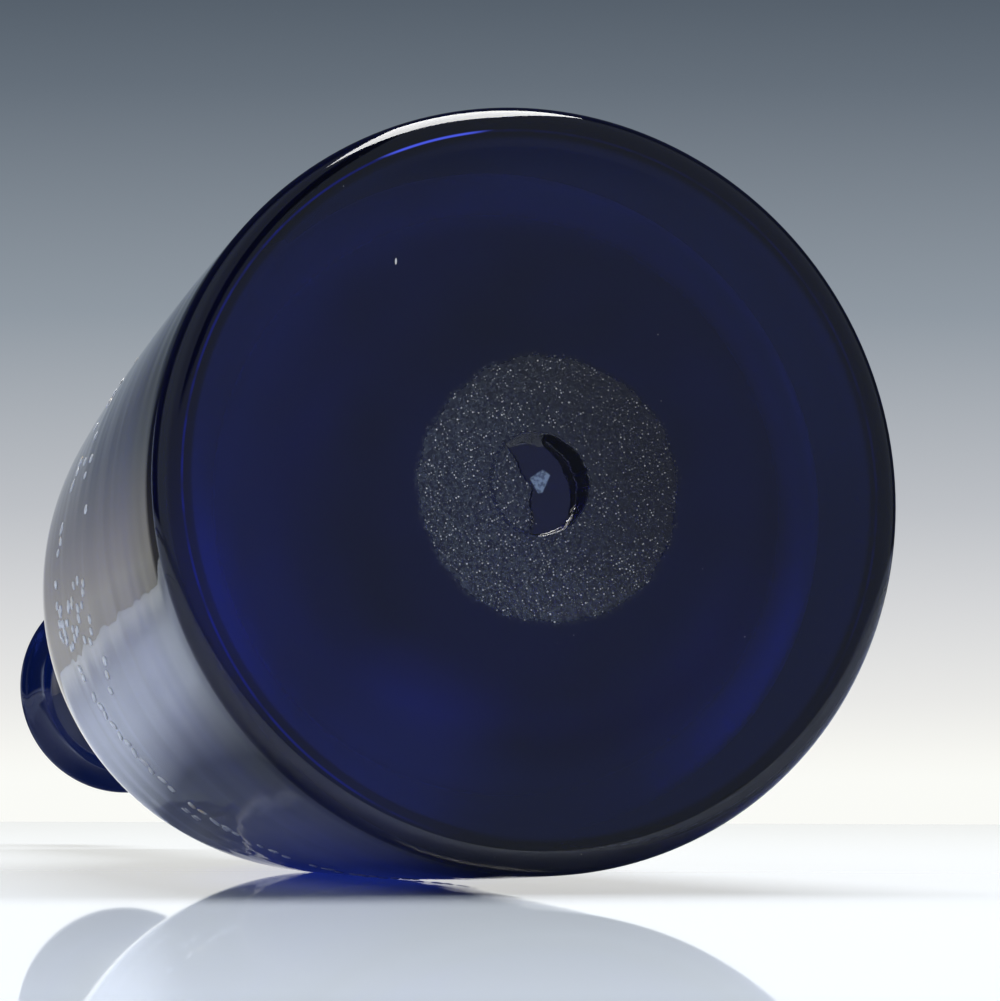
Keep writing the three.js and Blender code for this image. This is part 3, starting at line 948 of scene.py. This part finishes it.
def decanter_glass(material):
    """Body, neck and lip turned by the tree, then the base marks ground in."""
    near = np.zeros(1)
    for reach, rings in MARK_BANDS:
        near = np.concatenate((near, np.linspace(near[-1], reach, rings + 1)[1:]))
    kick = np.linspace(MARK_REACH, BASE_RADIUS - HEEL_DEPTH - REST_RING_WIDTH, KICK_RINGS)[1:]
    outer = outer_outline()
    inner = inner_outline()
    radius = np.concatenate((near, kick, outer[:, 0], inner[:, 0]))
    height = np.concatenate((np.zeros(len(near)), kick_height(kick), outer[:, 1], inner[:, 1]))
    # Rings near the middle of the base are centred on the marks there, so that their edges stay crisp
    reaches = (0, SCAR_RADIUS, PONTIL_RADIUS, MARK_REACH)
    centre = np.zeros((len(radius), 3))
    for axis in (0, 1):
        centres = (SCAR_CENTRE[axis], SCAR_CENTRE[axis], PONTIL_CENTRE[axis], 0)
        centre[:len(near), axis] = np.interp(near, reaches, centres)
    points = np.column_stack((radius, np.zeros(len(radius)), height))
    is_inner = np.concatenate((np.zeros(len(radius) - len(inner)), np.ones(len(inner))))
    row = point_cloud("decanter_glass", points, {"centre": centre * MM, "inner": is_inner})
    body = grown(row, turning_tree(), {
        "Outline Points": len(points), "Turn Steps": TURN_STEPS, "Seam Gap": 1e-7, "Material": material,
    })
    places = np.empty(len(body.data.vertices) * 3)
    body.data.vertices.foreach_get("co", places)
    places = places.reshape(-1, 3) / MM
    low = (places[:, 2] <= KICK_HEIGHT) & (np.hypot(places[:, 0], places[:, 1]) < MARK_REACH + 0.01)
    places[low, 2] = base_height(places[low, 0], places[low, 1])
    body.data.vertices.foreach_set("co", (places * MM).ravel())
    cleaned(body.data)
    body.data.vertices.foreach_get("co", places.ravel())
    places /= MM
    low = (places[:, 2] < 5.5) & (np.hypot(places[:, 0], places[:, 1]) < MARK_REACH)
    marks = base_marks(places[:, 0], places[:, 1]) * low[:, None]
    body.data.attributes.new("marks", "FLOAT_VECTOR", "POINT").data.foreach_set("vector", marks.ravel())
    return body


RISING_SIDE = outer_outline()[HEEL_STEPS:HEEL_STEPS + SIDE_STEPS + SHOULDER_STEPS + 1]


def glass_place(angle, height):
    """The point on the body's side at an angle in degrees and a height, with the ways out and up there."""
    radius, above = np.interp([height, height + 0.5], RISING_SIDE[:, 1], RISING_SIDE[:, 0])
    outward = Vector((math.cos(math.radians(angle)), math.sin(math.radians(angle)), 0))
    up = (outward * (above - radius) + Vector((0, 0, 0.5))).normalized()
    side = Vector((-outward.y, outward.x, 0))
    return outward * radius + Vector((0, 0, height)), side.cross(up), up, side


# Enamel festoon

SWAG_LOW = 54.5
SWAG_DROP = 25.5
SWAG_PEAKS = (-68.0, 112.0)
LEAF_SPACING = 1.55
STROKE_RISE = 0.1
TASSEL_TURN = -6.5
TASSEL_TOP = 79.5
TASSEL_DROPS = 8
DROP_SPACING = 3.7
# Turns from a swag's peak in degrees, with heights, of the single strokes and the small flowers
SINGLES = ((-16.5, 51), (-18.8, 53), (-21.3, 56), (9.7, 49.4), (17, 56), (19.3, 53.5), (21, 62), (25, 57.6))
FLOWERS = ((-49, 68), (-53, 60), (49, 68), (53, 60))


def swag_height(turn):
    """Height of the swag at an angle in degrees from its peak: it hangs between two peaks."""
    return SWAG_LOW + SWAG_DROP * ((90 - abs(turn)) / 90)**2


def festoon_strokes():
    """Every stroke of the brush as its angle, height, tilt, length and width."""
    strokes = []
    for peak in SWAG_PEAKS:
        for way in (-1, 1):
            turn = 2.0
            while turn < 90:
                height = swag_height(turn)
                lean = 9 - 18 * (len(strokes) % 2)
                strokes.append((peak + way * turn, height + lean * 0.05, 90 + lean, 2.9, 1.1))
                turn += LEAF_SPACING / math.hypot(0.64, height - swag_height(turn + 1))
        for drop in range(TASSEL_DROPS):
            height = TASSEL_TOP - DROP_SPACING * drop
            for turn in (-5.0, -1.6, 1.8, 5.0):
                sway = 1.2 * math.sin(drop * 1.7 + turn)
                spread = turn * (0.45 + 0.08 * drop) + sway
                strokes.append((peak + TASSEL_TURN + spread, height + 0.5 * sway, 90, 2.1, 1.15))
        for turn, height in SINGLES:
            strokes.append((peak + turn, height, 90, 2.5, 1.1))
        for turn, height in FLOWERS:
            for petal in range(4):
                way = math.radians(45 + 90 * petal)
                strokes.append((peak + turn + 1.5 * math.cos(way), height + 1.1 * math.sin(way),
                                45 + 90 * petal, 1.3, 0.9))
        for step in range(6):
            strokes.append((peak - 83 + 1.2 * step, 43 + 1.8 * step, 60, 1.5, 0.9))
    return strokes


def stroke_tree():
    """Sets a small domed stroke on each point, turned and sized by the point, and wears some away."""
    n, given = geometry_tree("enamel strokes", {
        "Stroke Sides": "Int", "Stroke Rings": "Int", "Worn Share": "Float", "Wear Seed": "Int",
        "Material": "Material",
    })

    def named(label):
        node = n.add("GeometryNodeInputNamedAttribute", data_type="FLOAT_VECTOR", inputs={"Name": label})
        return node.outputs[0]

    worn = n.add("FunctionNodeRandomValue", data_type="BOOLEAN", inputs={
        "Probability": given["Worn Share"], "Seed": given["Wear Seed"],
    })
    left = n.add("GeometryNodeDeleteGeometry", inputs={
        "Geometry": given["Geometry"], "Selection": worn.outputs["Value"],
    })
    dome = n.add("GeometryNodeMeshUVSphere", inputs={
        "Segments": given["Stroke Sides"], "Rings": given["Stroke Rings"], "Radius": 0.5,
    })
    smooth = n.add("GeometryNodeSetShadeSmooth", inputs={"Geometry": dome.outputs["Mesh"]})
    turn = n.add("FunctionNodeAxesToRotation", primary_axis="Z", secondary_axis="X")
    n.feed(turn.inputs[0], named("outward"))
    n.feed(turn.inputs[1], named("along"))
    placed = n.add("GeometryNodeInstanceOnPoints", inputs={
        "Points": left.outputs[0], "Instance": smooth.outputs[0],
        "Rotation": turn.outputs[0], "Scale": named("stroke"),
    })
    tree_end(n, placed.outputs[0], given["Material"])
    return n.tree


def festoon(material):
    rng = random.Random(7)
    points, outward, along, size = [], [], [], []
    for angle, height, tilt, length, width in festoon_strokes():
        place, out, up, side = glass_place(angle + rng.uniform(-0.25, 0.25), height + rng.uniform(-0.2, 0.2))
        way = math.radians(tilt + rng.uniform(-8, 8))
        points.append(place)
        outward.append(out)
        along.append(side * math.cos(way) + up * math.sin(way))
        grow = rng.uniform(0.85, 1.15)
        size.append(Vector((length * grow, width * grow, 2 * STROKE_RISE)) * MM)
    row = point_cloud("enamel_festoon", points, {"outward": outward, "along": along, "stroke": size})
    return grown(row, stroke_tree(), {
        "Stroke Sides": 8, "Stroke Rings": 5, "Worn Share": 0.12, "Wear Seed": 4, "Material": material,
    })


def enamel_material():
    material, n = new_material("enamel_beads")
    gilt = n.ramp(soft_noise(n, millimetres(n), 0.22), 0.64, 0.72, 0, 0.7)
    colour = n.blend(gilt, *ENAMEL_TINTS)
    paint = n.add("ShaderNodeBsdfPrincipled", inputs={"Base Color": colour, "Roughness": 0.35, "IOR": 1.5})
    n.add("ShaderNodeOutputMaterial", inputs={"Surface": paint.outputs[0]})
    return material


# Stopper

FINIAL_STEPS = 96
FINIAL_BEVEL = 0.16
# Millimetres of the sloping face over which the bevel at the flat face runs out
SLOPE_REACH = 7.0
# Length in metres under which edges left by the join are closed up
SLIVER = 2e-6


def stopper_outline():
    """Radius and height of the ground peg and shank, from the foot up to the dome inside the finial."""
    foot = MOUTH_BASE - PEG_LENGTH
    top = BODY_HEIGHT + PEG_STAND_OUT
    foot_radius = ground_radius(foot) - PEG_CLEARANCE
    top_radius = ground_radius(top) - PEG_CLEARANCE
    shank = top + SHANK_HEIGHT
    corner = (foot_radius - PEG_END_ROUND, foot + PEG_END_ROUND)
    neck = [(top_radius, top), (top_radius, top + SHANK_HEIGHT / 2),
            (SHANK_RADIUS, shank - SHANK_HEIGHT / 2), (SHANK_RADIUS, shank)]
    return np.vstack((
        [(0, foot), (corner[0], foot)],
        arc(corner, (PEG_END_ROUND, PEG_END_ROUND), -90, 0, 8),
        np.column_stack((np.linspace(foot_radius, top_radius, 26)[1:], np.linspace(corner[1], top, 26)[1:])),
        curve(neck, 18),
        arc((0, shank), (SHANK_RADIUS, SHANK_DOME), 0, 90, 14),
    ))


def finial(material):
    """The lozenge: two bevelled faces that slope out from a flat table to a thin edge."""
    top = BODY_HEIGHT + PEG_STAND_OUT
    centre = top + SHANK_HEIGHT + FINIAL_HEIGHT / 2
    half = FINIAL_THICKNESS / 2
    edge = FINIAL_EDGE / 2
    soft = FINIAL_BEVEL
    rim = soft / (FINIAL_HEIGHT / 2)
    front = [(half, 0), (half, FINIAL_FACE - 1.6 * rim), (half - 0.3 * soft, FINIAL_FACE),
             (half - 1.3 * soft, FINIAL_FACE + 0.9 * soft / SLOPE_REACH),
             (edge + 1.2 * soft, 1 - 1.4 * rim), (edge, 1 - 0.2 * rim), (edge - 1.5 * soft, 1)]
    layers = front + [(-depth, share) for depth, share in reversed(front)]
    verts = []
    for depth, share in layers:
        for step in range(FINIAL_STEPS):
            turn = 2 * math.pi * step / FINIAL_STEPS
            c = math.cos(turn)
            d = math.sin(turn)
            x = math.copysign(abs(c)**(2 / LOZENGE_POWER), c) * FINIAL_WIDTH / 2
            z = math.copysign(abs(d)**(2 / LOZENGE_POWER), d) * FINIAL_HEIGHT / 2
            verts.append((x * share, depth, centre + z * share))
    return finished("finial", verts, ring_faces(len(layers), FINIAL_STEPS), material)


def stopper_glass(material):
    stem = turned("stopper_glass", stopper_outline(), 72, material)
    head = finial(material)
    join = stem.modifiers.new("join", "BOOLEAN")
    join.operation = "UNION"
    join.solver = "EXACT"
    join.object = head
    evaluated(stem)
    bpy.data.objects.remove(head)
    bm = bmesh.new()
    bm.from_mesh(stem.data)
    bmesh.ops.remove_doubles(bm, verts=bm.verts, dist=SLIVER)
    bmesh.ops.dissolve_degenerate(bm, edges=bm.edges, dist=SLIVER)
    bmesh.ops.triangulate(bm, faces=bm.faces)
    for face in bm.faces:
        face.smooth = True
    for crease in bm.edges:
        crease.smooth = len(crease.link_faces) < 2 or crease.calc_face_angle(0) < math.radians(35)
    bm.to_mesh(stem.data)
    bm.free()
    return stem


body = decanter_glass(cobalt_material())
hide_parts("decanter_body")
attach(body, "decanter")

stopper = stopper_glass(stopper_material())
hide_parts("stopper")
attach(stopper, "stopper")

beads = festoon(enamel_material())
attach(beads, "decanter")
